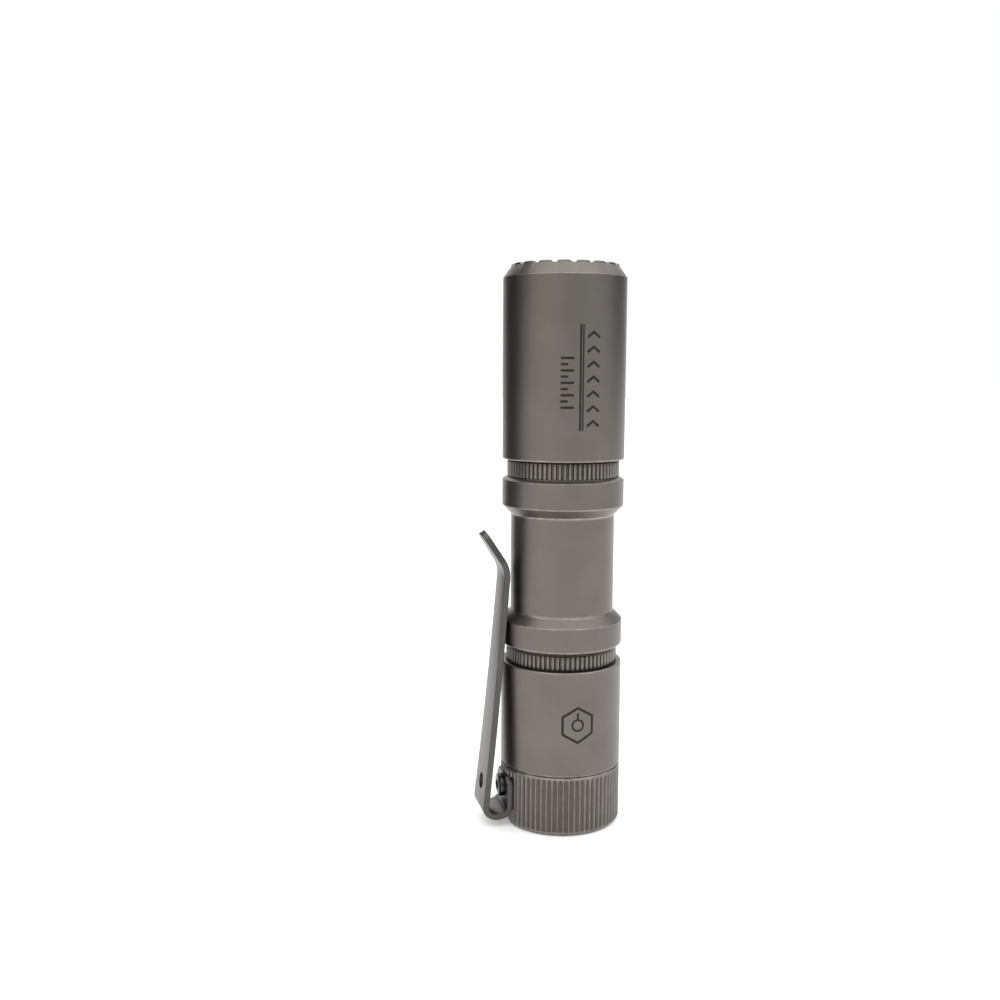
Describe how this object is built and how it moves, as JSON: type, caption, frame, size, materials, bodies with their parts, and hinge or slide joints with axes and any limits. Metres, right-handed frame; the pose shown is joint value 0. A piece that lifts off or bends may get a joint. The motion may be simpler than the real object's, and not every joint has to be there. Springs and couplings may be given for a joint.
{
  "type": "keychain flashlight",
  "caption": "Slim single-cell metal flashlight with a screw-on head, a notched rim, fluted grip bands, a recessed tail push button and a sprung pocket clip.",
  "frame": {"origin": "centre of the flat tail face, which is the plane that the light stands on", "axes": "+Z along the optical axis from the tail to the lens; the pocket clip lies in the XZ plane on the -X side; +Y completes a right-handed frame"},
  "size_m": [0.0253, 0.021, 0.0966],
  "materials": {
    "titanium": "satin, bead-blasted titanium",
    "titanium_clip": "satin, tumbled titanium",
    "black_screw": "polished black",
    "rubber_black": "matte",
    "lens_glass": "polished",
    "reflector_alu": "polished",
    "white_plastic": "matte",
    "emitter_ceramic": "satin",
    "emitter_silicone": "gloss",
    "core_board": "satin",
    "lead_insulation": "satin",
    "brass": "satin",
    "circuit_board": "satin",
    "chip_black": "matte",
    "cell_steel": "satin",
    "cell_sleeve": "gloss",
    "spring_gold": "polished",
    "boot_silicone": "matte",
    "switch_black": "satin",
    "switch_red": "satin"
  },
  "bodies": {
    "tube": {"body_tube": "titanium", "head_o_ring": "rubber_black", "tail_spring": "spring_gold"},
    "spring_top": {"spring_cap": "brass"},
    "cell": {"cell_can": "cell_steel", "cell_wrap": "cell_sleeve", "cell_ring": "white_plastic", "cell_button": "cell_steel"},
    "lens_seat": {"lens": "lens_glass", "lens_o_ring": "rubber_black"},
    "head": {"head_shell": "titanium", "reflector": "reflector_alu", "centering_ring": "white_plastic", "emitter_base": "emitter_ceramic", "emitter_dome": "emitter_silicone", "led_board": "core_board", "led_leads": "lead_insulation", "driver_housing": "brass", "driver_board": "circuit_board", "driver_chips": "chip_black", "driver_contact": "brass", "driver_ring": "brass"},
    "tail_seal": {"tail_o_ring": "rubber_black"},
    "tail": {"tail_cap": "titanium", "switch_boot": "boot_silicone", "boot_washer": "white_plastic", "switch_housing": "switch_black", "switch_board": "circuit_board", "switch_ring": "brass", "clip_tab": "titanium_clip", "clip_screw": "black_screw"},
    "button": {"switch_button": "titanium", "switch_plunger": "switch_red"},
    "clip": {"clip_arm": "titanium_clip"}
  },
  "joints": [
    {"name": "cell_rise", "type": "slide", "parent": "tube", "child": "spring_top", "axis": [0, 0, 1], "range_m": [0, 0.0045], "deforming": ["tail_spring"]},
    {"name": "head_lift_off", "type": "slide", "parent": "spring_top", "child": "lens_seat", "axis": [0, 0, 1], "range_m": [0, 0.075]},
    {"name": "head_twist", "type": "hinge", "parent": "lens_seat", "child": "head", "pos_m": [0, 0, 0.075], "axis": [0, 0, 1], "range_deg": [0, 1620]},
    {"name": "cell_draw", "type": "slide", "parent": "spring_top", "child": "cell", "axis": [0, 0, 1], "range_m": [0, 0.045]},
    {"name": "tail_travel", "type": "slide", "parent": "tube", "child": "tail_seal", "axis": [0, 0, -1], "range_m": [0, 0.0005]},
    {"name": "tail_twist", "type": "hinge", "parent": "tail_seal", "child": "tail", "pos_m": [0, 0, 0.01], "axis": [0, 0, -1], "range_deg": [0, 180]},
    {"name": "switch_press", "type": "slide", "parent": "tail", "child": "button", "axis": [0, 0, 1], "range_m": [0, 0.0012], "stiffness_N_per_m": 4000, "springref_m": -0.0005, "deforming": ["switch_boot"]},
    {"name": "clip_flex", "type": "hinge", "parent": "tail", "child": "clip", "pos_m": [-0.01215, 0, 0.00345], "axis": [0, -1, 0], "range_deg": [0, 5], "stiffness_Nm_per_rad": 5, "springref_deg": -1.15}
  ],
  "couplings": [
    {"joint": "head_twist", "follows": "cell_rise", "rad_per_m": 6283.2},
    {"joint": "cell_draw", "follows": "head_lift_off", "ratio": 0.6},
    {"joint": "tail_twist", "follows": "tail_travel", "rad_per_m": 6283.2}
  ]
}
